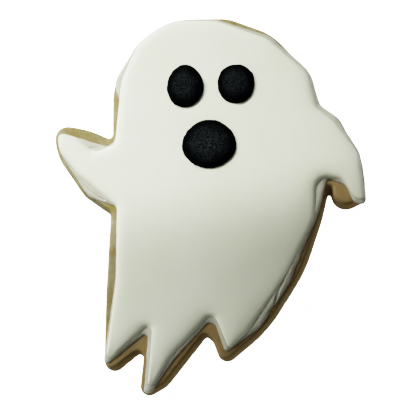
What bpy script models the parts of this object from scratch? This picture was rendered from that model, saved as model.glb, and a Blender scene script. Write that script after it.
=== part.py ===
"""Iced ghost biscuit lying flat, face up. Metres, +Z up, the top of the head toward +Y.

The biscuit is cut with a strip bent to the ghost's outline. White icing is piped along its edge as a low border,
and a thicker flood of the same icing fills the border and rides over it. Two eyes and a mouth of black icing sit
on the flood. Sizes below are in millimetres and are scaled to metres where the meshes are made.
"""

import math
from dataclasses import dataclass

import bmesh
import bpy
from mathutils import Vector

MM = 0.001

BISCUIT_HEIGHT = 7.0
BISCUIT_WIDEST = 1.3  # height of the biscuit's widest level, where it spread as it baked
BISCUIT_LEAN = 0.8  # how far the wall leans in between that level and the top edge
BISCUIT_ROUNDING = 0.7  # size of the rounding at the top edge and at the bottom edge
GAP = 0.3  # clear space between two pieces that lie against each other
BORDER_HEIGHT = 0.6
BORDER_ROUNDING = 0.25
BORDER_UNDER_FLOOD = 0.9  # how far the border reaches in under the flood's edge
FLOOD_RISE = 1.35  # how much the flood rises from its edge to its flat middle
FLOOD_ROLL = 3.4  # width of the band in which it rises
FLOOD_LIP = 0.15  # how far its edge stands out past its underside, and how thick that edge is
FLOOD_STEPS = (0.0, 0.3, 0.9)  # how far in the loops lie that shape the start of the rise
FLOOD_CELL = 7.0  # size of the cells that its top is made of
FLOOD_HALF_WIDTH = 49.0  # half sizes of the rectangle that is cut into cells, more than the flood's own
FLOOD_HALF_LENGTH = 56.0
DOT_SIDES = 30
DOT_RINGS = 5
DOT_FULLNESS = 0.8  # power that makes a spot's dome fuller than a half ball, where 1.0 is the half ball

SHARPEST_BEND = 0.3
TURN_STEP = math.radians(13)
BEND_STEP = 2.0
RUN_STEP = 6.5
MOST_OF_RUN = 0.96  # how much of a run the arcs at its two ends may take between them

FLOOR_OF_ICING = BISCUIT_HEIGHT + GAP
TOP_OF_BORDER = FLOOR_OF_ICING + BORDER_HEIGHT
EDGE_OF_FLOOD = TOP_OF_BORDER + GAP
TOP_OF_FLOOD = EDGE_OF_FLOOD + FLOOD_RISE


@dataclass(frozen=True)
class Bend:
    """One bend of an outline: where its two straight runs would meet, and its radius."""

    x: float
    y: float
    radius: float


@dataclass(frozen=True)
class Dot:
    """One spot of black icing: its middle, its half sizes, its height and how uneven it is.

    egg: how much narrower the top of the spot is than its foot, as a share of its width.
    corner: how much it bulges toward its four corners, as a share of its size.
    """

    name: str
    x: float
    y: float
    half_width: float
    half_length: float
    height: float
    egg: float
    corner: float


# Each outline runs anticlockwise from the top of the head, seen from above, and bend for bend they match.
CUTTER = (
    Bend(-12.2, 56.9, 18.0),
    Bend(-21.6, 50.5, 14.0),
    Bend(-29.5, 36.7, 16.0),
    Bend(-29.4, 21.3, 0.7),
    Bend(-36.0, 24.3, 20.0),
    Bend(-41.1, 25.4, 20.0),
    Bend(-46.8, 26.4, 4.6),
    Bend(-46.2, 16.8, 14.0),
    Bend(-37.5, 4.3, 9.0),
    Bend(-29.8, -1.0, 1.0),
    Bend(-30.95, -24.0, 60.0),
    Bend(-31.3, -49.8, 3.0),
    Bend(-19.7, -40.5, 0.9),
    Bend(-21.3, -55.7, 2.7),
    Bend(-12.8, -50.9, 7.0),
    Bend(-1.5, -36.7, 0.5),
    Bend(0.3, -38.3, 1.2),
    Bend(3.0, -45.8, 2.9),
    Bend(16.3, -34.9, 40.0),
    Bend(27.0, -18.0, 45.0),
    Bend(31.9, -3.4, 40.0),
    Bend(34.35, 6.7, 0.3),
    Bend(34.2, -2.8, 5.0),
    Bend(44.4, 1.7, 3.0),
    Bend(44.4, 8.6, 20.0),
    Bend(43.1, 15.3, 14.0),
    Bend(37.15, 26.55, 5.0),
    Bend(31.9, 30.4, 1.4),
    Bend(28.25, 40.6, 12.0),
    Bend(18.0, 51.75, 16.0),
    Bend(5.1, 56.8, 14.0),
)
PIPED = (
    Bend(-12.2, 55.8, 18.0),
    Bend(-21.1, 49.6, 14.0),
    Bend(-27.9, 38.3, 6.0),
    Bend(-28.3, 17.8, 2.2),
    Bend(-35.5, 20.2, 20.0),
    Bend(-40.5, 21.9, 20.0),
    Bend(-45.0, 23.2, 1.8),
    Bend(-44.6, 17.6, 6.0),
    Bend(-35.5, 3.6, 3.0),
    Bend(-27.2, 0.7, 1.2),
    Bend(-27.4, -20.0, 40.0),
    Bend(-30.9, -45.8, 1.2),
    Bend(-17.8, -35.3, 0.8),
    Bend(-19.2, -56.0, 1.2),
    Bend(-10.5, -43.6, 10.0),
    Bend(-0.7, -33.0, 1.6),
    Bend(1.3, -33.0, 1.6),
    Bend(4.3, -41.5, 0.9),
    Bend(14.2, -34.3, 8.0),
    Bend(22.5, -22.0, 12.0),
    Bend(31.2, -1.4, 6.0),
    Bend(33.6, 8.0, 1.0),
    Bend(38.7, 6.0, 4.0),
    Bend(40.9, 1.0, 1.5),
    Bend(44.7, -0.1, 1.5),
    Bend(43.4, 14.9, 14.0),
    Bend(36.3, 25.9, 4.0),
    Bend(31.6, 29.6, 1.6),
    Bend(29.15, 39.2, 11.0),
    Bend(17.6, 50.05, 9.0),
    Bend(1.8, 55.5, 7.0),
)
FLOODED = (
    Bend(-12.2, 55.4, 18.0),
    Bend(-20.8, 49.3, 12.0),
    Bend(-26.0, 37.6, 12.0),
    Bend(-27.7, 18.8, 1.2),
    Bend(-33.6, 16.7, 2.5),
    Bend(-39.0, 21.2, 3.0),
    Bend(-44.6, 23.0, 1.5),
    Bend(-44.2, 17.4, 5.0),
    Bend(-38.4, 10.2, 8.0),
    Bend(-27.0, 0.4, 1.4),
    Bend(-27.0, -20.0, 40.0),
    Bend(-29.9, -44.9, 1.4),
    Bend(-16.4, -32.2, 1.3),
    Bend(-17.9, -53.4, 0.9),
    Bend(-11.1, -42.5, 8.0),
    Bend(-0.4, -31.2, 2.0),
    Bend(1.6, -31.5, 2.0),
    Bend(5.4, -40.4, 0.9),
    Bend(11.0, -35.3, 10.0),
    Bend(22.0, -19.2, 18.0),
    Bend(29.8, -3.6, 8.0),
    Bend(30.6, 8.6, 3.4),
    Bend(37.6, 7.5, 3.0),
    Bend(41.2, 2.2, 2.0),
    Bend(44.4, 1.2, 1.2),
    Bend(42.9, 14.6, 8.0),
    Bend(36.0, 24.1, 6.0),
    Bend(31.0, 28.5, 4.0),
    Bend(28.45, 38.6, 9.0),
    Bend(16.85, 49.1, 9.0),
    Bend(1.8, 54.8, 8.0),
)

DOTS = (
    Dot("eye_left", -7.05, 35.3, 5.4, 6.35, 1.9, 0.05, -0.01),
    Dot("eye_right", 7.7, 35.6, 5.45, 5.9, 1.9, -0.04, 0.01),
    Dot("mouth", -0.1, 18.2, 7.9, 7.15, 2.1, 0.03, -0.01),
)


def unit(x, y):
    """The direction of (x, y) at length one."""
    length = math.hypot(x, y)
    return x / length, y / length


def turning(bends, index):
    """Directions of the runs before and after this bend, and the angle turned between them."""
    here = bends[index]
    before = bends[index - 1]
    after = bends[(index + 1) % len(bends)]
    ax, ay = unit(here.x - before.x, here.y - before.y)
    bx, by = unit(after.x - here.x, after.y - here.y)
    return (ax, ay), (bx, by), math.atan2(ax * by - ay * bx, ax * bx + ay * by)


def drawn_in(bends, depth):
    """The outline moved in by this depth all round, or out by a negative one."""
    moved = []
    for index, here in enumerate(bends):
        (ax, ay), (bx, by), turn = turning(bends, index)
        nx, ny = unit(-ay - by, ax + bx)
        shift = depth / math.cos(turn / 2)
        radius = here.radius - math.copysign(depth, turn)
        moved.append(Bend(here.x + nx * shift, here.y + ny * shift, max(radius, SHARPEST_BEND)))
    return tuple(moved)


def chord_counts():
    """How many chords each bend and the run after it take. All outlines share them, so they bridge in quads."""
    counts = []
    for index, here in enumerate(CUTTER):
        after = CUTTER[(index + 1) % len(CUTTER)]
        run = math.hypot(after.x - here.x, after.y - here.y)
        turn = max(abs(turning(bends, index)[2]) for bends in (CUTTER, PIPED, FLOODED))
        arc = min(turn * here.radius, run / 2)
        around = max(2, math.ceil(turn / TURN_STEP), math.ceil(arc / BEND_STEP))
        counts.append((around, max(1, round(run / RUN_STEP) - 1)))
    return counts


def reaches(bends):
    """How much of the runs beside each bend its arc takes, shared out where two arcs want more than a run has."""
    wanted = [here.radius * math.tan(abs(turning(bends, index)[2]) / 2) for index, here in enumerate(bends)]
    share = [1.0] * len(bends)
    for index, here in enumerate(bends):
        following = (index + 1) % len(bends)
        run = math.hypot(bends[following].x - here.x, bends[following].y - here.y)
        fits = min(1.0, MOST_OF_RUN * run / (wanted[index] + wanted[following]))
        share[index] = min(share[index], fits)
        share[following] = min(share[following], fits)
    return [length * part for length, part in zip(wanted, share)]


def outline(bends):
    """The closed outline, anticlockwise, as a list of (x, y)."""
    arcs = []
    for index, (here, reach, (around, _)) in enumerate(zip(bends, reaches(bends), chord_counts())):
        (ax, ay), _, turn = turning(bends, index)
        radius = reach / math.tan(turn / 2)
        start_x, start_y = here.x - ax * reach, here.y - ay * reach
        centre_x, centre_y = start_x - ay * radius, start_y + ax * radius
        arm_x, arm_y = start_x - centre_x, start_y - centre_y
        arc = []
        for step in range(around + 1):
            cosine, sine = math.cos(turn * step / around), math.sin(turn * step / around)
            arc.append((centre_x + arm_x * cosine - arm_y * sine, centre_y + arm_x * sine + arm_y * cosine))
        arcs.append(arc)
    points = []
    for index, (arc, (_, along)) in enumerate(zip(arcs, chord_counts())):
        points += arc
        (x0, y0), (x1, y1) = arc[-1], arcs[(index + 1) % len(arcs)][0]
        for step in range(1, along):
            points.append((x0 + (x1 - x0) * step / along, y0 + (y1 - y0) * step / along))
    return points


def distance_to(points, x, y):
    """Distance from (x, y) to the nearest place on a closed outline."""
    nearest = math.inf
    for index, (x1, y1) in enumerate(points):
        x0, y0 = points[index - 1]
        dx, dy = x1 - x0, y1 - y0
        along = ((x - x0) * dx + (y - y0) * dy) / (dx * dx + dy * dy)
        along = min(1.0, max(0.0, along))
        nearest = min(nearest, math.hypot(x - x0 - along * dx, y - y0 - along * dy))
    return nearest


def add_level(mesh, points, z):
    """The outline as a ring of vertices at this height."""
    return [mesh.verts.new((x * MM, y * MM, z * MM)) for x, y in points]


def add_wall(mesh, levels):
    """Quads between each level and the next, facing out where the levels go up the outside of a solid."""
    for lower, upper in zip(levels, levels[1:]):
        for index in range(len(lower)):
            mesh.faces.new((lower[index - 1], lower[index], upper[index], upper[index - 1]))


def middle_of(points):
    """The middle of an outline's bounding box."""
    across = [x for x, _ in points]
    along = [y for _, y in points]
    return (min(across) + max(across)) / 2, (min(along) + max(along)) / 2


def solid_of(name, mesh, material):
    """The finished object, in triangles and shaded smooth except at sharp edges, with the origin mid-biscuit."""
    mesh.normal_update()
    bmesh.ops.triangulate(mesh, faces=mesh.faces)
    bmesh.ops.recalc_face_normals(mesh, faces=mesh.faces)
    data = bpy.data.meshes.new(name)
    mesh.to_mesh(data)
    mesh.free()
    data.shade_smooth()
    data.set_sharp_from_angle(angle=math.radians(35))
    data.materials.append(material)
    solid = bpy.data.objects.new(name, data)
    middle_x, middle_y = middle_of(outline(CUTTER))
    solid.location = (-middle_x * MM, -middle_y * MM, 0.0)
    bpy.context.scene.collection.objects.link(solid)
    return solid


def material_of(name, colour, roughness):
    """A plain Principled material."""
    material = bpy.data.materials.new(name)
    material.use_nodes = True
    shader = material.node_tree.nodes["Principled BSDF"]
    shader.inputs["Base Color"].default_value = (*colour, 1.0)
    shader.inputs["Roughness"].default_value = roughness
    shader.inputs["Metallic"].default_value = 0.0
    return material


def make_biscuit(material):
    """The baked biscuit: flat underside, widest just above it, a wall that leans in and a rounded top edge."""
    lean = BISCUIT_LEAN
    rounding = BISCUIT_ROUNDING
    section = (
        (rounding, 0.0),
        (0.25 * rounding, 0.35 * BISCUIT_WIDEST),
        (0.0, BISCUIT_WIDEST),
        (0.45 * lean, 0.55 * BISCUIT_HEIGHT),
        (lean, BISCUIT_HEIGHT - rounding),
        (lean + 0.3 * rounding, BISCUIT_HEIGHT - 0.3 * rounding),
        (lean + rounding, BISCUIT_HEIGHT),
    )
    mesh = bmesh.new()
    levels = [add_level(mesh, outline(drawn_in(CUTTER, depth)), z) for depth, z in section]
    add_wall(mesh, levels)
    mesh.faces.new(list(reversed(levels[0])))
    mesh.faces.new(levels[-1])
    return solid_of("biscuit", mesh, material)


def make_border(material):
    """The piped border: a low ring whose outer edge is rounded and whose inner side lies under the flood."""
    rounding = BORDER_ROUNDING
    inside = outline(drawn_in(FLOODED, BORDER_UNDER_FLOOD))
    section = (
        (inside, FLOOR_OF_ICING),
        (outline(drawn_in(PIPED, 0.4 * rounding)), FLOOR_OF_ICING),
        (outline(PIPED), FLOOR_OF_ICING + rounding),
        (outline(drawn_in(PIPED, 0.3 * rounding)), TOP_OF_BORDER - 0.4 * rounding),
        (outline(drawn_in(PIPED, rounding)), TOP_OF_BORDER),
        (inside, TOP_OF_BORDER),
    )
    mesh = bmesh.new()
    levels = [add_level(mesh, points, z) for points, z in section]
    add_wall(mesh, levels + levels[:1])
    return solid_of("icing_border", mesh, material)


def flood_height(depth):
    """Height of the flood's top this far in from its edge: a quarter round, then flat."""
    rise = 1.0 - min(1.0, depth / FLOOD_ROLL)
    return EDGE_OF_FLOOD + FLOOD_LIP + (FLOOD_RISE - FLOOD_LIP) * math.sqrt(1.0 - rise * rise)


def make_flood(material):
    """The flood: a stem that fills the border, and a pillow that rides over the border's inner part."""
    stem = outline(drawn_in(FLOODED, BORDER_UNDER_FLOOD + GAP))
    mesh = bmesh.new()
    levels = [add_level(mesh, stem, FLOOR_OF_ICING), add_level(mesh, stem, EDGE_OF_FLOOD)]
    levels.append(add_level(mesh, outline(drawn_in(FLOODED, FLOOD_LIP)), EDGE_OF_FLOOD))
    for depth in FLOOD_STEPS:
        levels.append(add_level(mesh, outline(drawn_in(FLOODED, depth)), flood_height(depth)))
    add_wall(mesh, levels)
    mesh.faces.new(list(reversed(levels[0])))
    top = mesh.faces.new(levels[-1])
    rim = set(mesh.verts)
    # The top is cut into cells, and each corner of a cell is raised by its distance from the flood's edge.
    cut = [top, *top.edges, *top.verts]
    for axis, half in ((0, FLOOD_HALF_WIDTH), (1, FLOOD_HALF_LENGTH)):
        for step in range(round(2 * half / FLOOD_CELL) + 1):
            place = Vector((0.0, 0.0, 0.0))
            place[axis] = (step * FLOOD_CELL - half) * MM
            normal = Vector((0.0, 0.0, 0.0))
            normal[axis] = 1.0
            found = bmesh.ops.bisect_plane(mesh, geom=cut, dist=1e-6, plane_co=place, plane_no=normal)
            cut = found["geom"]
    flooded = outline(FLOODED)
    for vertex in set(mesh.verts) - rim:
        depth = distance_to(flooded, vertex.co.x / MM, vertex.co.y / MM)
        vertex.co.z = flood_height(max(depth, FLOOD_STEPS[-1])) * MM
    return solid_of("icing_flood", mesh, material)


def make_dot(dot, material):
    """A domed spot of black icing, flat below."""
    mesh = bmesh.new()
    floor = TOP_OF_FLOOD + GAP
    levels = []
    for ring in range(DOT_RINGS):
        rise = math.radians(90) * (ring / DOT_RINGS) ** DOT_FULLNESS
        spread = math.cos(rise) ** DOT_FULLNESS
        points = []
        for side in range(DOT_SIDES):
            angle = 2 * math.pi * side / DOT_SIDES
            bulge = spread * (1 - dot.corner * math.cos(4 * angle))
            width = dot.half_width * bulge * (1 - dot.egg * math.sin(angle))
            points.append((
                dot.x + width * math.cos(angle),
                dot.y + dot.half_length * bulge * math.sin(angle),
            ))
        levels.append(add_level(mesh, points, floor + dot.height * math.sin(rise)))
    peak = mesh.verts.new((dot.x * MM, dot.y * MM, (floor + dot.height) * MM))
    add_wall(mesh, levels)
    mesh.faces.new(list(reversed(levels[0])))
    for index in range(DOT_SIDES):
        mesh.faces.new((levels[-1][index - 1], levels[-1][index], peak))
    return solid_of(dot.name, mesh, material)


def main():
    for leftover in list(bpy.data.objects):
        bpy.data.objects.remove(leftover, do_unlink=True)
    baked = material_of("baked_biscuit", (0.55, 0.38, 0.17), 0.85)
    white = material_of("white_icing", (0.82, 0.82, 0.74), 0.45)
    black = material_of("black_icing", (0.008, 0.009, 0.01), 0.6)
    make_biscuit(baked)
    make_border(white)
    make_flood(white)
    for dot in DOTS:
        make_dot(dot, black)


main()
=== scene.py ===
"""Looks of an iced ghost biscuit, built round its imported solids.

A rolled butter biscuit lies on a pale floor, face up, with the ghost's head toward +Y. White royal icing is
piped along its edge as a low border. A flood of thinner icing settles inside the border and rides over it.
Three spots of black icing stand on the flood. Sizes in the classes below are in millimetres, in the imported
frame, and meshes are written in metres.
"""

import logging
import math
from dataclasses import dataclass, field
from enum import Enum

import bmesh
import bpy
import numpy as np
from mathutils import Matrix, Vector, noise


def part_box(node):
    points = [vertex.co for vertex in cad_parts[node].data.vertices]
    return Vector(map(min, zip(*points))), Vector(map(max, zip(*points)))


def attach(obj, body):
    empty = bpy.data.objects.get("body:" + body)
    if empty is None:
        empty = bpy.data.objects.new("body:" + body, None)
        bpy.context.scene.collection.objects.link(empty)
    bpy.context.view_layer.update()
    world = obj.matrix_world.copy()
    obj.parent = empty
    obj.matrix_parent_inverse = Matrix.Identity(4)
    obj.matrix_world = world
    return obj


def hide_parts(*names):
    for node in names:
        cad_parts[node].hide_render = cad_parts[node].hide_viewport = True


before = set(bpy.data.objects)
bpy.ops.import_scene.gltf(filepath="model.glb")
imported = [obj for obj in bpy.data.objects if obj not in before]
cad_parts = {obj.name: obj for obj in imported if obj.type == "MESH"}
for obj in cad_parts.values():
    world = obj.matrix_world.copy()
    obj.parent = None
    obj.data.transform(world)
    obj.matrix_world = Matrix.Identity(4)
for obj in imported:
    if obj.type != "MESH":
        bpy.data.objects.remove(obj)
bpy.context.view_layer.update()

MM = 0.001
BODY = "root"
LOG = logging.getLogger("iced_biscuit")

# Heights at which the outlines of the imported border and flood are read, in millimetres.
BORDER_SECTION = 7.6
FLOOD_SECTION = 8.345

# Colour of the lamps and of the room's light.
DAYLIGHT = "#FCFFF6"

# Points that are measured against an outline at a time, to keep the memory small.
BATCH = 8000


class Slot(Enum):
    """Names of the material slots."""

    BISCUIT = "baked_biscuit"
    WHITE = "white_icing"
    BLACK = "black_icing"


class Cut(Enum):
    """Whether a mark in the icing is pressed in or stands up."""

    GROOVE = -1.0
    RIDGE = 1.0


# ---------------------------------------------------------------- small tools


def linear(colour: str) -> tuple[float, float, float, float]:
    """Turns an sRGB hex colour into the linear colour that a socket takes.

    Args:
        colour: The colour as "#RRGGBB".

    Returns:
        Red, green and blue as linear light, and an alpha of 1.
    """
    parts = [int(colour[place:place + 2], 16) / 255 for place in (1, 3, 5)]
    red, green, blue = (
        part / 12.92 if part <= 0.04045 else ((part + 0.055) / 1.055) ** 2.4 for part in parts
    )
    return red, green, blue, 1.0


def per_metre(size: float) -> float:
    """The pattern scale at which one feature of a texture is this many millimetres across."""
    return 1.0 / (size * MM)


def add_node(
    tree: bpy.types.NodeTree, kind: str, sockets: dict[str | int, object] | None = None, **settings: object
) -> bpy.types.Node:
    """Adds one node, sets it and links it.

    Args:
        tree: The node tree that the node goes in.
        kind: The node's type, as Blender names it.
        sockets: For each input, by name or number, the output that feeds it or the value that it takes.
        **settings: Properties of the node itself.

    Returns:
        The new node.
    """
    node = tree.nodes.new(kind)
    for name, value in settings.items():
        setattr(node, name, value)
    for socket, value in (sockets or {}).items():
        if isinstance(value, bpy.types.NodeSocket):
            tree.links.new(value, node.inputs[socket])
        else:
            node.inputs[socket].default_value = value
    return node


def blank_material(name: str) -> tuple[bpy.types.Material, bpy.types.NodeTree]:
    """Makes a material with an empty node tree.

    Args:
        name: The material's name.

    Returns:
        The material and its tree.
    """
    material = bpy.data.materials.new(name)
    material.use_nodes = True
    material.node_tree.nodes.clear()
    return material, material.node_tree


def merged_copy(node: str) -> bmesh.types.BMesh:
    """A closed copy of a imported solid, with its loose triangles joined.

    Args:
        node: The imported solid's name.

    Returns:
        The copy, which the caller frees.
    """
    mesh = bmesh.new()
    mesh.from_mesh(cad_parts[node].data)
    bmesh.ops.remove_doubles(mesh, verts=mesh.verts, dist=0.002 * MM)
    bmesh.ops.recalc_face_normals(mesh, faces=mesh.faces)
    return mesh


def sliced(node: str, height: float) -> bmesh.types.BMesh:
    """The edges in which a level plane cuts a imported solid.

    Args:
        node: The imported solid's name.
        height: The plane's height in millimetres.

    Returns:
        A mesh of those edges alone, which the caller frees.
    """
    mesh = merged_copy(node)
    everything = [*mesh.verts, *mesh.edges, *mesh.faces]
    bmesh.ops.bisect_plane(
        mesh, geom=everything, dist=1e-7, plane_co=(0.0, 0.0, height * MM), plane_no=(0.0, 0.0, 1.0),
        clear_outer=True, clear_inner=True,
    )
    bmesh.ops.remove_doubles(mesh, verts=mesh.verts, dist=0.01 * MM)
    return mesh


def smooth_step(low: float, high: float, values: np.ndarray) -> np.ndarray:
    """Zero below low, one above high, and a smooth rise between them."""
    share = np.clip((values - low) / (high - low), 0.0, 1.0)
    return share * share * (3.0 - 2.0 * share)


def lumps(points: np.ndarray, size: float, start: float) -> np.ndarray:
    """Smooth noise.

    Args:
        points: Places in millimetres, one row each.
        size: About how many millimetres across one lump is.
        start: Where in the noise to begin, so that two uses differ.

    Returns:
        A value from about -1 to 1 at each point.
    """
    shift = Vector((start, 1.7 * start, 2.3 * start))
    return np.array([noise.noise(Vector(point) / size + shift) for point in points])


@dataclass(frozen=True)
class Outline:
    """A closed outline seen from above.

    Attributes:
        corners: Its corners in order, in millimetres.
    """

    corners: np.ndarray

    @classmethod
    def of(cls, node: str, height: float) -> "Outline":
        """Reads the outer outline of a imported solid.

        Args:
            node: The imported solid's name.
            height: The height at which it is read, in millimetres.

        Returns:
            The widest of the closed outlines at that height.
        """
        mesh = sliced(node, height)
        left = set(mesh.verts)
        loops = []
        while left:
            here = left.pop()
            loop = [here]
            while True:
                following = [edge.other_vert(here) for edge in here.link_edges]
                here = next((vertex for vertex in following if vertex in left), None)
                if here is None:
                    break
                left.discard(here)
                loop.append(here)
            loops.append(np.array([vertex.co[:2] for vertex in loop]) / MM)
        mesh.free()
        return cls(max(loops, key=lambda loop: np.prod(np.ptp(loop, axis=0))))

    def depth(self, points: np.ndarray) -> tuple[np.ndarray, np.ndarray]:
        """Measures how far in from the outline each point is.

        Args:
            points: Places in millimetres, whose first two columns are read.

        Returns:
            The distance to the outline, negative outside it, and the unit direction that leads inward.
        """
        starts = self.corners
        sides = np.roll(starts, -1, axis=0) - starts
        squares = (sides**2).sum(axis=1)
        depths, inward = [], []
        for part in np.array_split(points[:, :2], max(1, len(points) // BATCH)):
            offset = part[:, None, :] - starts
            along = np.clip((offset * sides).sum(axis=2) / squares, 0.0, 1.0)
            away = offset - along[..., None] * sides
            nearest = (away**2).sum(axis=2).argmin(axis=1)
            away = away[np.arange(len(part)), nearest]
            low, high = starts[:, 1], starts[:, 1] + sides[:, 1]
            spans = (low <= part[:, 1:2]) != (high <= part[:, 1:2])
            rise = np.where(sides[:, 1] == 0.0, 1.0, sides[:, 1])
            crossing = starts[:, 0] + (part[:, 1:2] - low) / rise * sides[:, 0]
            inside = (spans & (crossing > part[:, :1])).sum(axis=1) % 2 == 1
            sign = np.where(inside, 1.0, -1.0)
            length = np.sqrt((away**2).sum(axis=1))
            depths.append(sign * length)
            inward.append(away * (sign / np.maximum(length, 1e-6))[:, None])
        return np.concatenate(depths), np.concatenate(inward)


@dataclass
class Clay:
    """The vertices of a piece while it is being shaped.

    Attributes:
        piece: The object that they belong to.
        points: Their places in millimetres.
        edges: The two vertices of each edge.
    """

    piece: bpy.types.Object
    points: np.ndarray
    edges: np.ndarray

    @classmethod
    def from_mesh(cls, name: str, mesh: bmesh.types.BMesh, cell: float) -> "Clay":
        """Makes an object of a closed mesh, covered anew in faces of one size.

        Args:
            name: The new piece's name.
            mesh: The closed mesh, which is freed here.
            cell: The size of the new faces in millimetres.

        Returns:
            The new piece's clay.
        """
        data = bpy.data.meshes.new(name)
        mesh.to_mesh(data)
        mesh.free()
        piece = bpy.data.objects.new(name, data)
        bpy.context.scene.collection.objects.link(piece)
        cover = piece.modifiers.new("Even faces", "REMESH")
        cover.mode = "VOXEL"
        cover.voxel_size = cell * MM
        graph = bpy.context.evaluated_depsgraph_get()
        piece.data = bpy.data.meshes.new_from_object(piece.evaluated_get(graph))
        piece.modifiers.clear()
        bpy.data.meshes.remove(data)
        piece.data.name = name
        flat = np.empty(len(piece.data.vertices) * 3)
        piece.data.vertices.foreach_get("co", flat)
        ends = np.empty(len(piece.data.edges) * 2, dtype=np.int32)
        piece.data.edges.foreach_get("vertices", ends)
        return cls(piece, flat.reshape(-1, 3) / MM, ends.reshape(-1, 2))

    def neighbours(self, values: np.ndarray) -> tuple[np.ndarray, np.ndarray]:
        """Adds up a value over each vertex's neighbours.

        Args:
            values: The value at each vertex.

        Returns:
            The sum over the neighbours of each vertex, and how many it has.
        """
        count = len(self.points)
        one, other = self.edges[:, 0], self.edges[:, 1]
        total = np.bincount(one, values[other], count) + np.bincount(other, values[one], count)
        return total, np.bincount(self.edges.ravel(), minlength=count)

    def settled(
        self, values: np.ndarray, free: np.ndarray, rest: np.ndarray, pull: float, times: int
    ) -> np.ndarray:
        """Lets values settle like a liquid's surface that is held at its edge.

        Args:
            values: The starting value at each vertex.
            free: Whether each vertex may change.
            rest: The value that each would take far from any edge.
            pull: How strongly that value draws, against the neighbours' mean.
            times: How many passes are made.

        Returns:
            The settled values.
        """
        values = values.copy()
        for _ in range(times):
            total, count = self.neighbours(values)
            values[free] = ((total + pull * rest) / (count + pull))[free]
        return values

    def smooth(self, where: np.ndarray, times: int) -> None:
        """Draws each chosen vertex to the mean of its neighbours.

        Args:
            where: How far each vertex goes toward that mean, from 0 to 1.
            times: How many passes are made.
        """
        for _ in range(times):
            for axis in range(3):
                total, count = self.neighbours(self.points[:, axis])
                self.points[:, axis] += where * (total / count - self.points[:, axis])

    def normals(self) -> np.ndarray:
        """Works out the vertices' normals as the points now stand.

        Returns:
            A unit vector for each vertex.
        """
        self.write()
        flat = np.empty(len(self.points) * 3)
        self.piece.data.vertices.foreach_get("normal", flat)
        return flat.reshape(-1, 3)

    def write(self) -> None:
        """Puts the points into the piece's mesh."""
        self.piece.data.vertices.foreach_set("co", (self.points * MM).ravel())
        self.piece.data.update()

    def finished(self, nodes: tuple[str, ...], slot: Slot, material: bpy.types.Material) -> bpy.types.Object:
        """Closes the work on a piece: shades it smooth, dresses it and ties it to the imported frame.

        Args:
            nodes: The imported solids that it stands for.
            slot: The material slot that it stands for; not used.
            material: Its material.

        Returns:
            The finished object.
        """
        self.write()
        self.piece.data.shade_smooth()
        self.piece.data.materials.clear()
        self.piece.data.materials.append(material)
        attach(self.piece, BODY)
        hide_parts(*nodes)
        return self.piece


@dataclass(frozen=True)
class Mark:
    """A line pressed into a surface or standing on it.

    Attributes:
        path: The places that it runs through, in millimetres.
        height: How deep or high it is.
        width: How wide it is to each side.
        cut: Whether it is a groove or a ridge.
    """

    path: tuple[tuple[float, float], ...]
    height: float
    width: float
    cut: Cut = Cut.GROOVE

    def rise(self, points: np.ndarray) -> np.ndarray:
        """Works out how much this mark raises each point.

        Args:
            points: Places in millimetres, whose first two columns are read.

        Returns:
            The rise at each point in millimetres, below zero where the mark is pressed in.
        """
        places = points[:, :2]
        nearest = np.full(len(points), 1e9)
        for start, end in zip(self.path, self.path[1:]):
            first, side = np.array(start), np.subtract(end, start)
            along = np.clip((places - first) @ side / max(side @ side, 1e-9), 0.0, 1.0)
            away = places - first - along[:, None] * side
            nearest = np.minimum(nearest, np.hypot(away[:, 0], away[:, 1]))
        return self.cut.value * self.height * np.exp(-((nearest / self.width) ** 2))


# ------------------------------------------------------------------- finishes


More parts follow.
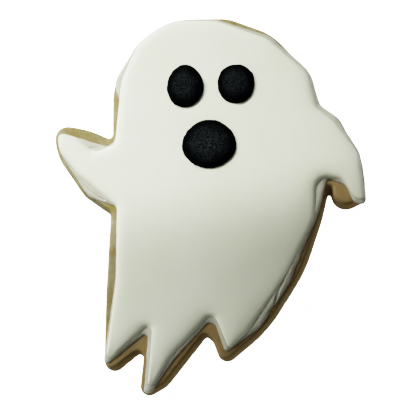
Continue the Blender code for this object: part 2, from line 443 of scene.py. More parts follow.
@dataclass(frozen=True)
class BakedBiscuit:
    """Rolled butter biscuit, baked pale: a dry, close crumb that scatters light, golden on its wall.

    The wall that the cutter left is smooth with a fine grain. The foot and underside are browner, partly
    where they lay on the tray and partly as painted shade near the floor. Toward the lower right, the side
    that the soft
    boxes leave in shade, it turns redder: painted shade colour, partly also a stronger bake.

    Attributes:
        pale: Colour of the least baked patches.
        golden: Colour of the browner patches.
        painted_shade_ruddy: Redder colour toward the lower right: painted shade colour, partly also a
            stronger bake.
        foot_brown_and_shade: Colour of the foot, partly the tray's browning and partly painted shade near the
            floor.
        speck: Colour of the dark grains.
        grain: Size of the crumb's grains.
        blotch: Size of the patches.
        roughness: Roughness of the crumb.
        foot: Heights at which the foot's browning and painted shade start and are full.
        foot_wander: How much the patches shift those heights.
        foot_share: Share of the foot's colour where it is full.
        shade_side_range: Range of x minus y over which the redder, painted shade colour sets in.
        painted_shade_ruddy_share: Share of that redder colour where it is full.
    """

    pale: str = "#A49C88"
    golden: str = "#938660"
    painted_shade_ruddy: str = "#998261"
    foot_brown_and_shade: str = "#846C47"
    speck: str = "#5E4F34"
    grain: float = 0.35
    blotch: float = 5.0
    roughness: float = 0.82
    foot: tuple[float, float] = (3.4, 1.0)
    foot_wander: float = 2.4
    foot_share: float = 0.85
    shade_side_range: tuple[float, float] = (-8.0, 32.0)
    painted_shade_ruddy_share: float = 0.75

    def material(self) -> bpy.types.Material:
        """Builds the material.

        Returns:
            The material.
        """
        material, tree = blank_material("Butter biscuit, rolled, cut and baked")
        place = add_node(tree, "ShaderNodeTexCoord").outputs["Object"]
        blotches = add_node(tree, "ShaderNodeTexNoise", {
            "Vector": place, "Scale": per_metre(self.blotch), "Detail": 4.0, "Roughness": 0.6,
        })
        crumb = add_node(tree, "ShaderNodeTexNoise", {
            "Vector": place, "Scale": per_metre(self.grain), "Detail": 3.0, "Roughness": 0.65,
        })
        tone = add_node(tree, "ShaderNodeMapRange", {
            "Value": blotches.outputs["Fac"], "From Min": 0.35, "From Max": 0.68,
        })
        ground = add_node(tree, "ShaderNodeMix", {
            "Factor": tone.outputs["Result"], "A": linear(self.pale), "B": linear(self.golden),
        }, data_type="RGBA")
        axes = add_node(tree, "ShaderNodeSeparateXYZ", {"Vector": place}).outputs
        # Redder toward +X and -Y, the side that the soft boxes leave in shade: painted shade colour, partly
        # also a stronger bake.
        across = add_node(tree, "ShaderNodeMath", {0: axes["X"], 1: axes["Y"]}, operation="SUBTRACT")
        far, near = self.shade_side_range
        painted_shade_blend = add_node(tree, "ShaderNodeMapRange", {
            "Value": across.outputs["Value"], "From Min": far * MM, "From Max": near * MM,
            "To Max": self.painted_shade_ruddy_share,
        }, interpolation_type="SMOOTHSTEP")
        crust = add_node(tree, "ShaderNodeMix", {
            "Factor": painted_shade_blend.outputs["Result"], "A": ground.outputs["Result"], "B": linear(self.painted_shade_ruddy),
        }, data_type="RGBA")
        # Browner toward the foot: partly the tray's browning, partly painted shade where the wall meets the
        # floor.
        wander = add_node(tree, "ShaderNodeMath", {
            0: blotches.outputs["Fac"], 1: self.foot_wander * MM, 2: axes["Z"],
        }, operation="MULTIPLY_ADD")
        start, full = self.foot
        foot_brown_and_shade_blend = add_node(tree, "ShaderNodeMapRange", {
            "Value": wander.outputs["Value"], "From Min": start * MM, "From Max": full * MM,
            "To Max": self.foot_share,
        }, interpolation_type="SMOOTHSTEP")
        body = add_node(tree, "ShaderNodeMix", {
            "Factor": foot_brown_and_shade_blend.outputs["Result"], "A": crust.outputs["Result"], "B": linear(self.foot_brown_and_shade),
        }, data_type="RGBA")
        specks = add_node(tree, "ShaderNodeMapRange", {
            "Value": crumb.outputs["Fac"], "From Min": 0.57, "From Max": 0.72, "To Max": 0.45,
        })
        colour = add_node(tree, "ShaderNodeMix", {
            "Factor": specks.outputs["Result"], "A": body.outputs["Result"], "B": linear(self.speck),
        }, data_type="RGBA")
        relief = add_node(tree, "ShaderNodeBump", {
            "Height": crumb.outputs["Fac"], "Strength": 0.6, "Distance": 0.12 * MM,
        })
        shader = add_node(tree, "ShaderNodeBsdfPrincipled", {
            "Base Color": colour.outputs["Result"], "Roughness": self.roughness,
            "Normal": relief.outputs["Normal"], "Specular IOR Level": 0.1, "Subsurface Weight": 0.12,
            "Subsurface Radius": (1.0, 0.55, 0.25), "Subsurface Scale": 0.8 * MM,
        })
        add_node(tree, "ShaderNodeOutputMaterial", {"Surface": shader.outputs["BSDF"]})
        return material


@dataclass(frozen=True)
class WhiteIcing:
    """Royal icing of sugar and egg white, dried in air: a satin off-white that lets a little light in.

    Its skin is smooth, with a faint dry grain and clouds of a slightly creamier tone.

    Attributes:
        white: Its colour.
        cream: Colour of the creamier clouds.
        cloud: Size of the clouds.
        grain: Size of the grain.
        roughness: Roughness of its skin.
    """

    white: str = "#EDEEE4"
    cream: str = "#EAEBDD"
    cloud: float = 16.0
    grain: float = 0.3
    roughness: float = 0.5

    def material(self) -> bpy.types.Material:
        """Builds the material.

        Returns:
            The material.
        """
        material, tree = blank_material("Royal icing, white, air dried")
        place = add_node(tree, "ShaderNodeTexCoord").outputs["Object"]
        clouds = add_node(tree, "ShaderNodeTexNoise", {
            "Vector": place, "Scale": per_metre(self.cloud), "Detail": 2.0, "Roughness": 0.5,
        })
        tone = add_node(tree, "ShaderNodeMapRange", {
            "Value": clouds.outputs["Fac"], "From Min": 0.35, "From Max": 0.65,
        })
        colour = add_node(tree, "ShaderNodeMix", {
            "Factor": tone.outputs["Result"], "A": linear(self.white), "B": linear(self.cream),
        }, data_type="RGBA")
        skin = add_node(tree, "ShaderNodeTexNoise", {
            "Vector": place, "Scale": per_metre(self.grain), "Detail": 2.0, "Roughness": 0.6,
        })
        relief = add_node(tree, "ShaderNodeBump", {
            "Height": skin.outputs["Fac"], "Strength": 0.25, "Distance": 0.03 * MM,
        })
        shader = add_node(tree, "ShaderNodeBsdfPrincipled", {
            "Base Color": colour.outputs["Result"], "Roughness": self.roughness,
            "Normal": relief.outputs["Normal"], "Specular IOR Level": 0.35, "Subsurface Weight": 0.3,
            "Subsurface Radius": (1.0, 0.95, 0.8), "Subsurface Scale": 0.5 * MM,
        })
        add_node(tree, "ShaderNodeOutputMaterial", {"Surface": shader.outputs["BSDF"]})
        return material


@dataclass(frozen=True)
class BlackIcing:
    """Royal icing coloured black and dried: matte, fine-grained, with a painted grey-blue sheen on its top.

    Attributes:
        black: Its colour.
        dust_and_sheen: Colour of the painted sheen on its top, broken up by dust.
        grain: Size of the sugar grains.
        dust: Size of the dust that breaks up the painted sheen.
        roughness: Roughness of its skin.
        painted_sheen_heights: Heights between which the painted sheen sets in.
    """

    black: str = "#040506"
    dust_and_sheen: str = "#3F464B"
    grain: float = 0.32
    dust: float = 0.42
    roughness: float = 0.7
    painted_sheen_heights: tuple[float, float] = (10.9, 12.0)

    def material(self) -> bpy.types.Material:
        """Builds the material.

        Returns:
            The material.
        """
        material, tree = blank_material("Royal icing, black, air dried")
        place = add_node(tree, "ShaderNodeTexCoord").outputs["Object"]
        grains = add_node(tree, "ShaderNodeTexVoronoi", {"Vector": place, "Scale": per_metre(self.grain)})
        dust = add_node(tree, "ShaderNodeTexNoise", {
            "Vector": place, "Scale": per_metre(self.dust), "Detail": 4.0, "Roughness": 0.65,
        })
        tone = add_node(tree, "ShaderNodeMapRange", {
            "Value": dust.outputs["Fac"], "From Min": 0.4, "From Max": 0.62,
        })
        # The lighter grey-blue lies only toward the dome's top: a painted sheen, broken up by the dust.
        low, high = self.painted_sheen_heights
        dry = add_node(tree, "ShaderNodeMapRange", {
            "Value": add_node(tree, "ShaderNodeSeparateXYZ", {"Vector": place}).outputs["Z"],
            "From Min": low * MM, "From Max": high * MM,
        }, interpolation_type="SMOOTHSTEP")
        painted_sheen_share = add_node(tree, "ShaderNodeMath", {
            0: tone.outputs["Result"], 1: dry.outputs["Result"],
        }, operation="MULTIPLY")
        colour = add_node(tree, "ShaderNodeMix", {
            "Factor": painted_sheen_share.outputs["Value"], "A": linear(self.black), "B": linear(self.dust_and_sheen),
        }, data_type="RGBA")
        rough = add_node(tree, "ShaderNodeMath", {
            0: dust.outputs["Fac"], 1: grains.outputs["Distance"],
        }, operation="ADD")
        relief = add_node(tree, "ShaderNodeBump", {
            "Height": rough.outputs["Value"], "Strength": 0.7, "Distance": 0.1 * MM,
        })
        shader = add_node(tree, "ShaderNodeBsdfPrincipled", {
            "Base Color": colour.outputs["Result"], "Roughness": self.roughness,
            "Normal": relief.outputs["Normal"], "Specular IOR Level": 0.03,
        })
        add_node(tree, "ShaderNodeOutputMaterial", {"Surface": shader.outputs["BSDF"]})
        return material


@dataclass(frozen=True)
class SeamlessPaper:
    """Matte white studio paper under and behind the biscuit, which lights itself enough to read as white.

    Attributes:
        white: Its colour.
        glow: Strength of its own light.
    """

    white: str = "#F7F7F7"
    glow: float = 3.0

    def material(self, name: str) -> bpy.types.Material:
        """Builds the material.

        Args:
            name: The material's name.

        Returns:
            The material.
        """
        material, tree = blank_material(name)
        shader = add_node(tree, "ShaderNodeBsdfPrincipled", {
            "Base Color": linear(self.white), "Roughness": 1.0, "Specular IOR Level": 0.0,
            "Emission Color": (1.0, 1.0, 1.0, 1.0), "Emission Strength": self.glow,
        })
        add_node(tree, "ShaderNodeOutputMaterial", {"Surface": shader.outputs["BSDF"]})
        return material


# --------------------------------------------------------------------- pieces


@dataclass
class Biscuit:
    """The baked biscuit under the icing.

    Attributes:
        cell: Size of its faces.
        sag: How far in the wall wanders, over lumps of sag_size.
        sag_size: Size of those lumps.
        crumb: How far the crumb stands off the wall.
        crumb_size: Size of the crumb.
        pit: Depth of the small holes that bubbles leave.
        pit_size: Size of those holes.
        pit_range: Range of the noise over which a hole sets in.
        top: Height of its flat top, which stays level under the icing.
        finish: Its finish.
    """

    cell: float = 0.46
    sag: float = 0.08
    sag_size: float = 5.5
    crumb: float = 0.08
    crumb_size: float = 0.9
    pit: float = 0.1
    pit_size: float = 1.2
    pit_range: tuple[float, float] = (0.32, 0.6)
    top: float = 7.0
    finish: BakedBiscuit = BakedBiscuit()

    def build(self) -> bpy.types.Object:
        """Shapes the crumb on the cut wall and dresses the biscuit.

        Returns:
            The finished piece.
        """
        clay = Clay.from_mesh("baked_biscuit", merged_copy("biscuit"), self.cell)
        clay.smooth(np.full(len(clay.points), 0.3), 2)
        points, normals = clay.points, clay.normals()
        wander = 0.5 + 0.5 * lumps(points, self.sag_size, start=3.0)
        crumb = np.abs(lumps(points, self.crumb_size, start=11.0))
        holes = smooth_step(*self.pit_range, lumps(points, self.pit_size, start=29.0))
        inward = self.sag * wander + self.crumb * crumb + self.pit * holes
        wall = 1.0 - 0.8 * np.abs(normals[:, 2]) ** 4
        points -= normals * (inward * wall)[:, None]
        points[:, 2] = np.clip(points[:, 2], 0.0, self.top)
        return clay.finished(("biscuit",), Slot.BISCUIT, self.finish.material())


@dataclass
class PipedBorder:
    """The border piped along the biscuit's edge, as it shows outside the flood.

    Attributes:
        cell: Size of its faces.
        floor: Height of its underside, pressed onto the biscuit.
        crest: Height of its rounded top.
        rim: Width of the band along its outer edge in which its top rounds over.
        fall: How far the top falls there.
        valley: How far it dips behind the rim, toward the flood.
        valley_range: Distances in from its edge between which it dips.
        lump: How far its top is uneven, over lumps of lump_size.
        lump_size: Size of those lumps.
        fleck: How far its top is uneven, over flecks of fleck_size.
        fleck_size: Size of those flecks.
        wobble: How far its edge wanders, over lengths of wobble_size.
        wobble_size: Length of that wandering.
        nibble: Share of the wandering that a finer one adds, over lengths of nibble_size.
        nibble_size: Length of the finer wandering.
        drawn: Distances in from its edge between which the wandering fades in.
        pulls: Stretches where its edge lies farther in and leaves the biscuit's top bare.
        marks: Grooves and ridges where two strokes of the icing met or the edge flaked.
        finish: Its finish, a greyer copy of the white icing: painted shade where the flood's edge shades the
            border.
        edge: Its packed outline.
    """

    cell: float = 0.24
    floor: float = 6.96
    crest: float = 7.85
    rim: float = 2.2
    fall: float = 0.75
    valley: float = 0.12
    valley_range: tuple[float, float] = (1.0, 2.0)
    lump: float = 0.09
    lump_size: float = 2.2
    fleck: float = 0.04
    fleck_size: float = 0.8
    wobble: float = 0.12
    wobble_size: float = 2.6
    nibble: float = 0.4
    nibble_size: float = 0.9
    drawn: tuple[float, float] = (1.9, 0.2)
    pulls: tuple[Mark, ...] = (Mark(((-26.9, 30.6), (-27.0, 21.6)), 1.2, 2.2, Cut.RIDGE),)
    marks: tuple[Mark, ...] = (
        Mark(
            ((-40.6, 10.4), (-38.2, 7.9), (-36.1, 5.5), (-33.7, 3.4), (-31.6, 1.9), (-29.8, 1.1)), 0.36, 0.34
        ),
        Mark(((-36.2, 3.9), (-34.2, 2.3), (-32.0, 0.7)), 0.3, 0.3),
        Mark(((-37.6, 17.4), (-34.2, 16.2), (-31.0, 16.6)), 0.3, 0.35),
        Mark(((19.9, -27.3), (19.2, -29.8), (17.5, -31.9)), 0.45, 0.2),
        Mark(((22.9, -19.6), (21.7, -23.4), (20.4, -26.1), (19.7, -28.1)), 0.35, 0.28),
        Mark(((24.3, -19.8), (24.0, -20.6)), 0.25, 0.3, Cut.RIDGE),
        Mark(((26.6, -16.4), (26.1, -17.4)), 0.22, 0.3, Cut.RIDGE),
        Mark(((18.9, -31.4), (18.3, -31.9)), 0.25, 0.3, Cut.RIDGE),
        Mark(((27.4, -12.2), (26.9, -13.2)), 0.18, 0.3, Cut.RIDGE),
    )
    # A greyer copy of the white icing: painted shade where the flood's edge shades the border.
    finish: WhiteIcing = WhiteIcing(white="#C6C4BD", cream="#BBB8AE", roughness=0.6)
    edge: Outline = field(default_factory=lambda: Outline.of("icing_border", BORDER_SECTION))

    def top(self, points: np.ndarray) -> np.ndarray:
        """Works out the height of the border's top before its unevenness and its marks.

        Args:
            points: Places in millimetres, whose first two columns are read.

        Returns:
            The height at each point in millimetres.
        """
        depth, _ = self.edge.depth(points)
        over = np.clip(1.0 - depth / self.rim, 0.0, 1.0)
        drop = self.fall * (1.0 - np.sqrt(1.0 - over**2))
        return self.crest - drop - self.valley * smooth_step(*self.valley_range, depth)

    def build(self) -> bpy.types.Object:
        """Shapes the rim, its unevenness and its marks, and dresses the border.

        Returns:
            The finished piece.
        """
        low, high = (corner.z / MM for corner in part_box("icing_border"))
        clay = Clay.from_mesh("icing_border_piped", merged_copy("icing_border"), self.cell)
        clay.smooth(np.full(len(clay.points), 0.4), 2)
        points = clay.points
        depth, inward = self.edge.depth(points)
        level = np.clip((points[:, 2] - low) / (high - low), 0.0, 1.0)
        uneven = self.lump * lumps(points, self.lump_size, start=5.0)
        uneven = uneven + self.fleck * lumps(points, self.fleck_size, start=7.0)
        marks = sum(mark.rise(points) for mark in self.marks)
        top = self.top(points) + uneven + marks
        points[:, 2] = self.floor + level * (top - self.floor)
        flat = points * (1.0, 1.0, 0.0)
        nibbles = self.nibble * lumps(flat, self.nibble_size, start=17.0)
        shift = self.wobble * (lumps(flat, self.wobble_size, start=13.0) + nibbles)
        shift = (shift + sum(pull.rise(points) for pull in self.pulls)) * smooth_step(*self.drawn, depth)
        points[:, :2] += inward * shift[:, None]
        return clay.finished(("icing_border",), Slot.WHITE, self.finish.material())


@dataclass
class Flood:
    """The flood of thin icing that fills the border and rides over it.

    Attributes:
        border: The border that it lies on.
        cell: Size of its faces.
        slab: Thickness of the slab that it is shaped from, which only has to hold a few faces.
        floor: Height of its underside inside the border.
        seat: How far its underside lies below the border's top, where it rides over the border.
        step: Distances in from its edge between which its underside goes down inside the border.
        rim: Height of its edge above the border's top, where it faces the drain.
        bank: How much higher its edge stands on the other side.
        top: Height of its flat middle.
        ripple: How far the middle is uneven, over lumps of ripple_size.
        ripple_size: Size of those lumps.
        reach: Distance over which corners and narrow tips are evened out, as surface tension shapes them.
        roll: Width of the rounded band along its edge.
        slack: How much wider that band is toward the drain, and narrower on the other side.
        drain: Direction, in degrees from +X toward +Y, in which the wet flood crept while it set.
        lip: Radius of the rounding at its edge.
        tuck: How far the edge's foot is tucked in.
        waist: Share of the slab's height at which its edge stands out farthest.
        skin: Share of the slab's height above which a point belongs to the upper side.
        held: Width of the band along its edge that keeps its height.
        passes: Number of passes in which it settles.
        softened: Distances in from its edge between which the last smoothing fades in.
        sinks: Places where the drying surface sank, each a broad shallow mark.
        finish: Its finish.
        edge: Its packed outline.
    """

    border: PipedBorder
    cell: float = 0.36
    slab: float = 1.6
    floor: float = 6.97
    seat: float = 0.07
    step: tuple[float, float] = (1.0, 1.5)
    rim: float = 0.12
    bank: float = 1.0
    top: float = 9.5
    ripple: float = 0.02
    ripple_size: float = 9.0
    reach: float = 2.2
    roll: float = 4.6
    slack: float = 1.2
    drain: float = -40.0
    lip: float = 0.3
    tuck: float = 0.22
    waist: float = 0.4
    skin: float = 0.8
    held: float = 0.3
    passes: int = 160
    softened: tuple[float, float] = (1.6, 0.6)
    sinks: tuple[Mark, ...] = (
        Mark(((17.5, -24.5), (30.0, -9.5)), 0.6, 8.0),
        Mark(((12.4, -22.9), (20.0, -17.0)), 0.1, 1.9),
    )
    finish: WhiteIcing = WhiteIcing()
    edge: Outline = field(default_factory=lambda: Outline.of("icing_flood", FLOOD_SECTION))

    def sheet(self) -> bmesh.types.BMesh:
        """Makes the slab that the flood is shaped from, with its outline and its foot at a height of zero.

        Returns:
            The slab's closed mesh, which the caller frees.
        """
        mesh = sliced("icing_flood", FLOOD_SECTION)
        face = bmesh.ops.contextual_create(mesh, geom=mesh.edges)["faces"]
        grown = bmesh.ops.extrude_face_region(mesh, geom=face)["geom"]
        risen = [part for part in grown if isinstance(part, bmesh.types.BMVert)]
        bmesh.ops.translate(mesh, verts=risen, vec=(0.0, 0.0, self.slab * MM))
        bmesh.ops.translate(mesh, verts=mesh.verts, vec=(0.0, 0.0, -FLOOD_SECTION * MM))
        bmesh.ops.recalc_face_normals(mesh, faces=mesh.faces)
        return mesh

    def surface(
        self, clay: Clay, depth: np.ndarray, inward: np.ndarray, upper: np.ndarray, under: np.ndarray
    ) -> np.ndarray:
        """Works out how high the flood's upper side stands once it has settled.

        Args:
            clay: The flood's clay.
            depth: How far in from the edge each point is.
            inward: The direction that leads in from the edge there.
            upper: Whether each point is on the slab's upper side.
            under: Height of the edge's foot at each point.

        Returns:
            The height at each point in millimetres.
        """
        points = clay.points
        free = depth > self.held
        creep = np.array((math.cos(math.radians(self.drain)), math.sin(math.radians(self.drain))))
        bank = clay.settled(inward @ creep, free, np.zeros(len(points)), 0.0, self.passes)
        rim = under + self.rim + self.bank * np.clip(bank, 0.0, 1.0)
        flat = self.top + self.ripple * lumps(points * (1.0, 1.0, 0.0), self.ripple_size, start=19.0)
        flat = flat + sum(sink.rise(points) for sink in self.sinks)
        share = 1.0 - np.exp(-depth / self.reach)
        draw = (self.cell / self.reach) ** 2
        share = clay.settled(share, upper & free, np.ones(len(points)), draw, self.passes)
        fall = self.reach * np.log(np.maximum(1.0 - share, 1e-6))
        over = np.clip(1.0 + fall / (self.roll - self.slack * bank), 0.0, 1.0)
        return rim + (flat - rim) * np.sqrt(1.0 - over**2)

    def rounding(self, level: np.ndarray) -> np.ndarray:
        """Works out how far the edge's round section draws in above and below its waist.

        Args:
            level: Each point's height as a share of the slab's.

        Returns:
            The distance inward in millimetres, for a point on the edge.
        """
        above = np.clip((level - self.waist) / (1.0 - self.waist), 0.0, 1.0)
        below = np.clip((self.waist - level) / self.waist, 0.0, 1.0)
        return self.lip * (1.0 - np.sqrt(np.clip(1.0 - above**2, 0.0, 1.0))) + self.tuck * below**2

    def build(self) -> bpy.types.Object:
        """Lets the slab settle into a flood between its edge and its middle, and dresses it.

        Returns:
            The finished piece.
        """
        clay = Clay.from_mesh("icing_flood_sheet", self.sheet(), self.cell)
        points = clay.points
        level = np.clip(points[:, 2] / self.slab, 0.0, 1.0)
        depth, inward = self.edge.depth(points)
        depth = np.maximum(depth, 0.0)
        under = self.border.top(points) - self.seat
        settled = self.surface(clay, depth, inward, level > self.skin, under)
        pull = self.rounding(level) * np.exp(-depth / (2.0 * self.lip))
        points[:, :2] += inward * pull[:, None]
        bottom = under + (self.floor - under) * smooth_step(*self.step, depth)
        points[:, 2] = bottom + level * (settled - bottom)
        clay.smooth(0.35 * smooth_step(*self.softened, depth), 3)
        return clay.finished(("icing_flood",), Slot.WHITE, self.finish.material())


@dataclass
class IcingDot:
    """A domed spot of black icing, piped on the flood.

    Attributes:
        node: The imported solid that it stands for.
        start: Where in the noise it begins, so that no two spots are alike.
        marks: Nicks and bumps on its outline.
        foot: Height of its foot, which sits a little way into the flood.
        cell: Size of its faces.
        lump: How far its surface wanders, over lumps of lump_size.
        lump_size: Size of those lumps.
        nub: How far it wanders over nubs of nub_size.
        nub_size: Size of those nubs.
        grain: How far the sugar grains stand off it.
        grain_size: Size of those grains.
        domed: Range of the normals' upward part over which the roughness sets in.
        finish: Its finish.
    """

    node: str
    start: float
    marks: tuple[Mark, ...] = ()
    foot: float = 9.4
    cell: float = 0.17
    lump: float = 0.17
    lump_size: float = 2.2
    nub: float = 0.09
    nub_size: float = 1.0
    grain: float = 0.045
    grain_size: float = 0.55
    domed: tuple[float, float] = (-0.4, 0.1)
    finish: BlackIcing = BlackIcing()

    def build(self) -> bpy.types.Object:
        """Roughens the dome, lets its foot down onto the flood and dresses it.

        Returns:
            The finished piece.
        """
        low, high = (corner.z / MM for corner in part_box(self.node))
        clay = Clay.from_mesh(self.node + "_piped", merged_copy(self.node), self.cell)
        clay.smooth(np.full(len(clay.points), 0.5), 6)
        points, normals = clay.points, clay.normals()
        level = np.clip((points[:, 2] - low) / (high - low), 0.0, 1.0)
        dome = smooth_step(*self.domed, normals[:, 2])
        wander = self.lump * lumps(points, self.lump_size, self.start)
        wander += self.nub * lumps(points, self.nub_size, self.start + 5.0)
        wander += self.grain * lumps(points, self.grain_size, self.start + 9.0)
        nicks = sum((mark.rise(points) for mark in self.marks), np.zeros(len(points)))
        points += normals * ((wander + nicks) * dome)[:, None]
        points[:, 2] -= (low - self.foot) * (1.0 - level) ** 1.5
        points[:, 2] = np.minimum(points[:, 2], high)
        return clay.finished((self.node,), Slot.BLACK, self.finish.material())


# --------------------------------------------------------------------- studio


@dataclass(frozen=True)
class SoftBox:
    """A soft box with a grid in front, whose light spreads little and so ends in a soft edge.

    Attributes:
        name: Its name.
        azimuth: Direction that it stands in, in degrees from +X toward +Y.
        elevation: How high it stands, in degrees.
        distance: How far off it stands, in millimetres.
        middle: Where the middle of its light falls on the icing.
        size: Width and height of the box.
        turn: Direction of its width, in degrees from +X toward +Y.
        spread: Angle over which the grid lets light out, in degrees.
        power: Its power in milliwatts.
        colour: Colour of its light.
    """

    name: str
    azimuth: float
    elevation: float
    distance: float
    middle: tuple[float, float, float]
    size: tuple[float, float]
    turn: float
    spread: float
    power: float
    colour: str = DAYLIGHT

    def build(self) -> None:
        """Hangs the soft box."""
        data = bpy.data.lights.new(self.name, "AREA")
        data.shape = "RECTANGLE"
        data.size, data.size_y = (length * MM for length in self.size)
        data.spread = math.radians(self.spread)
        data.energy = self.power * MM
        data.color = linear(self.colour)[:3]
        around, up = math.radians(self.azimuth), math.radians(self.elevation)
        toward = Vector((math.cos(around) * math.cos(up), math.sin(around) * math.cos(up), math.sin(up)))
        wide = Vector((math.cos(math.radians(self.turn)), math.sin(math.radians(self.turn)), 0.0))
        wide = (wide - toward * wide.dot(toward)).normalized()
        turned = Matrix((wide, toward.cross(wide), toward)).transposed().to_4x4()
        light = bpy.data.objects.new(self.name, data)
        light.matrix_world = Matrix.Translation((Vector(self.middle) + toward * self.distance) * MM) @ turned
        light.visible_camera = False
        bpy.context.scene.collection.objects.link(light)


@dataclass(frozen=True)
class Studio:
    """The floor, the light and the camera.

    Attributes:
        aim: What the camera looks at, in millimetres.
        azimuth: How far round from straight in front of the ghost's feet the camera stands, in degrees.
        elevation: How high it stands, in degrees above the floor.
        distance: How far off it stands, in millimetres.
        lens: Its focal length on a 36 mm frame.
        boxes: The soft boxes, which light the head and the left side and leave the lower right side dim.
        window: Direction that the room's light comes from most.
        room: Strength of the light that comes from all round.
        room_side: How much stronger that light is from the window's side, as a share.
        bounce: Strength of the light that the table throws back up, as a share of the room's.
        tone_top: Value that the camera's tone curve tends to in the brightest light.
        tone_power: Contrast of that curve in the dark tones.
        tone_middle: Light at which the curve reaches half of its top.
        tone_lights: Lights at which the curve is given, up to the brightest.
        paper: Half the width of the paper.
        paper_gap: How far the paper lies under the biscuit.
        dome: Radius of the white dome behind the paper.
    """

    aim: tuple[float, float, float] = (0.739, -1.986, 4.92)
    azimuth: float = 37.0
    elevation: float = 80.4
    distance: float = 400.0
    lens: float = 118.9
    boxes: tuple[SoftBox, ...] = (
        SoftBox("soft_box_head", 118.0, 45.0, 90.0, (-17.5, 58.0, 9.4), (158.0, 92.0), 7.0, 10.0, 23.4),
        SoftBox("soft_box_left", 150.0, 42.0, 190.0, (-43.0, -5.0, 9.4), (190.0, 94.0), 70.0, 34.0, 46.5),
    )
    window: tuple[float, float, float] = (-0.55, 0.45, 0.7)
    room: float = 0.11
    room_side: float = 0.7
    bounce: float = 5.8
    tone_top: float = 1.02
    tone_power: float = 1.7
    tone_middle: float = 0.40
    tone_lights: tuple[float, ...] = (0.03, 0.06, 0.12, 0.2, 0.3, 0.42, 0.56, 0.72, 0.9, 1.2, 1.8, 4.0)
    paper: float = 1500.0
    paper_gap: float = 0.05
    dome: float = 1480.0

    def build(self) -> None:
        """Sets up the paper, the light and the camera."""
        self.set_tones()
        self.add_floor()
        self.add_backdrop()
        self.add_room_light()
        for box in self.boxes:
            box.build()
        self.add_camera()

    def set_tones(self) -> None:
        """Gives the picture a camera's tone curve, which deepens dark tones and holds back bright ones."""
        view = bpy.context.scene.view_settings
        view.view_transform = "Standard"
        view.look = "None"
        view.use_curve_mapping = True
        mapping = view.curve_mapping
        brightest = self.tone_lights[-1]
        mapping.white_level = (brightest,) * 3
        curve = mapping.curves[3]
        for light in self.tone_lights:
            power = light**self.tone_power
            tone = self.tone_top * power / (power + self.tone_middle**self.tone_power)
            if light == brightest:
                curve.points[-1].location = (1.0, tone)
            else:
                curve.points.new(light / brightest, tone)
        mapping.update()

    def add_stage(self, name: str, mesh: bmesh.types.BMesh, material: bpy.types.Material) -> bpy.types.Object:
        """Adds a piece of the studio that only the camera sees.

        Args:
            name: The object's name.
            mesh: Its mesh, which is freed here.
            material: Its material.

        Returns:
            The object.
        """
        data = bpy.data.meshes.new(name)
        mesh.to_mesh(data)
        mesh.free()
        data.materials.append(material)
        stage = bpy.data.objects.new(name, data)
        bpy.context.scene.collection.objects.link(stage)
        stage.visible_diffuse = False
        stage.visible_glossy = False
        stage.visible_transmission = False
        stage.visible_shadow = False
        return stage

    def add_floor(self) -> None:
        """Lays the paper that the biscuit stands on."""
        mesh = bmesh.new()
        bmesh.ops.create_grid(mesh, x_segments=1, y_segments=1, size=self.paper * MM)
        bmesh.ops.translate(mesh, verts=mesh.verts, vec=(0.0, 0.0, -self.paper_gap * MM))
        self.add_stage("floor_paper", mesh, SeamlessPaper().material("Studio paper, matte white"))

    def add_backdrop(self) -> None:
        """Closes the view behind the floor with a white dome."""
        mesh = bmesh.new()
        bmesh.ops.create_uvsphere(mesh, u_segments=48, v_segments=24, radius=self.dome * MM)
        bmesh.ops.reverse_faces(mesh, faces=mesh.faces)
        paper = SeamlessPaper(glow=4.0).material("Studio backdrop, matte white")
        self.add_stage("backdrop_paper", mesh, paper)

    def add_room_light(self) -> None:
        """Lights the scene softly from all round, more from the window side, and from the table below."""
        world = bpy.data.worlds.new("Room light")
        bpy.context.scene.world = world
        world.use_nodes = True
        tree = world.node_tree
        tree.nodes.clear()
        toward = add_node(tree, "ShaderNodeTexCoord").outputs["Generated"]
        side = add_node(tree, "ShaderNodeVectorMath", {
            0: toward, 1: Vector(self.window).normalized(),
        }, operation="DOT_PRODUCT")
        bright = add_node(tree, "ShaderNodeMath", {
            0: side.outputs["Value"], 1: self.room_side, 2: 1.0,
        }, operation="MULTIPLY_ADD")
        height = add_node(tree, "ShaderNodeSeparateXYZ", {"Vector": toward})
        sky = add_node(tree, "ShaderNodeMapRange", {
            "Value": height.outputs["Z"], "From Min": -0.05, "From Max": 0.05,
        })
        strength = add_node(tree, "ShaderNodeMix", {
            "Factor": sky.outputs["Result"], "A": self.bounce, "B": bright.outputs["Value"],
        })
        scaled = add_node(tree, "ShaderNodeMath", {
            0: strength.outputs["Result"], 1: self.room,
        }, operation="MULTIPLY")
        light = add_node(tree, "ShaderNodeBackground", {
            "Color": linear(DAYLIGHT), "Strength": scaled.outputs["Value"],
        })
        add_node(tree, "ShaderNodeOutputWorld", {"Surface": light.outputs["Background"]})

    def add_camera(self) -> None:
        """Stands the camera nearly over the biscuit, with the ghost's head at the top of the picture."""
        round_by, up_by = math.radians(self.azimuth), math.radians(self.elevation)
        back = Vector((
            math.sin(round_by) * math.cos(up_by), -math.cos(round_by) * math.cos(up_by), math.sin(up_by),
        ))
        right = Vector((0.0, 1.0, 0.0)).cross(back).normalized()
        up = back.cross(right)
        data = bpy.data.cameras.new("Camera")
        data.lens = self.lens
        data.sensor_width = 36.0
        data.clip_start = 10 * MM
        data.clip_end = 5000 * MM
        camera = bpy.data.objects.new("camera", data)
        turned = Matrix((right, up, back)).transposed().to_4x4()
        camera.matrix_world = Matrix.Translation((Vector(self.aim) + back * self.distance) * MM) @ turned
        bpy.context.scene.collection.objects.link(camera)
        bpy.context.scene.camera = camera


def report(piece: bpy.types.Object) -> None:
    """Logs a piece's name and how many triangles it has."""
    piece.data.calc_loop_triangles()
    LOG.info("%s: %d triangles", piece.name, len(piece.data.loop_triangles))


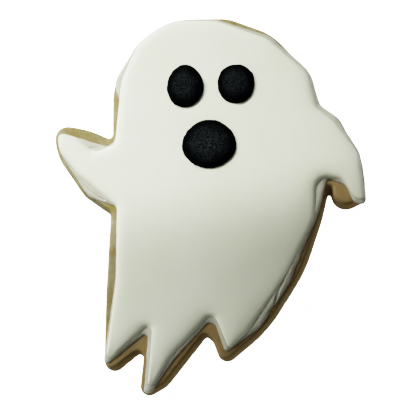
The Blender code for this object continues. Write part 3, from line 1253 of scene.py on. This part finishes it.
def main() -> None:
    """Builds the biscuit, its icing and the studio, in that order."""
    logging.basicConfig(level=logging.INFO, format="%(message)s")
    report(Biscuit().build())
    border = PipedBorder()
    report(border.build())
    report(Flood(border).build())
    for dot in (
        IcingDot("eye_left", 1.0, (
            Mark(((-9.6, 29.6), (-8.6, 28.6)), 0.18, 0.7, Cut.RIDGE),
            Mark(((-10.7, 31.4), (-10.5, 31.1)), 0.3, 0.45),
            Mark(((-11.2, 34.4), (-11.1, 34.1)), 0.22, 0.4),
        )),
        IcingDot("eye_right", 4.0, (Mark(((12.6, 38.0), (12.4, 37.6)), 0.3, 0.5),)),
        IcingDot("mouth", 8.0, (Mark(((-6.6, 19.9), (-6.2, 19.6)), 0.35, 0.5),)),
    ):
        report(dot.build())
    Studio().build()


if __name__ == "__main__":
    main()
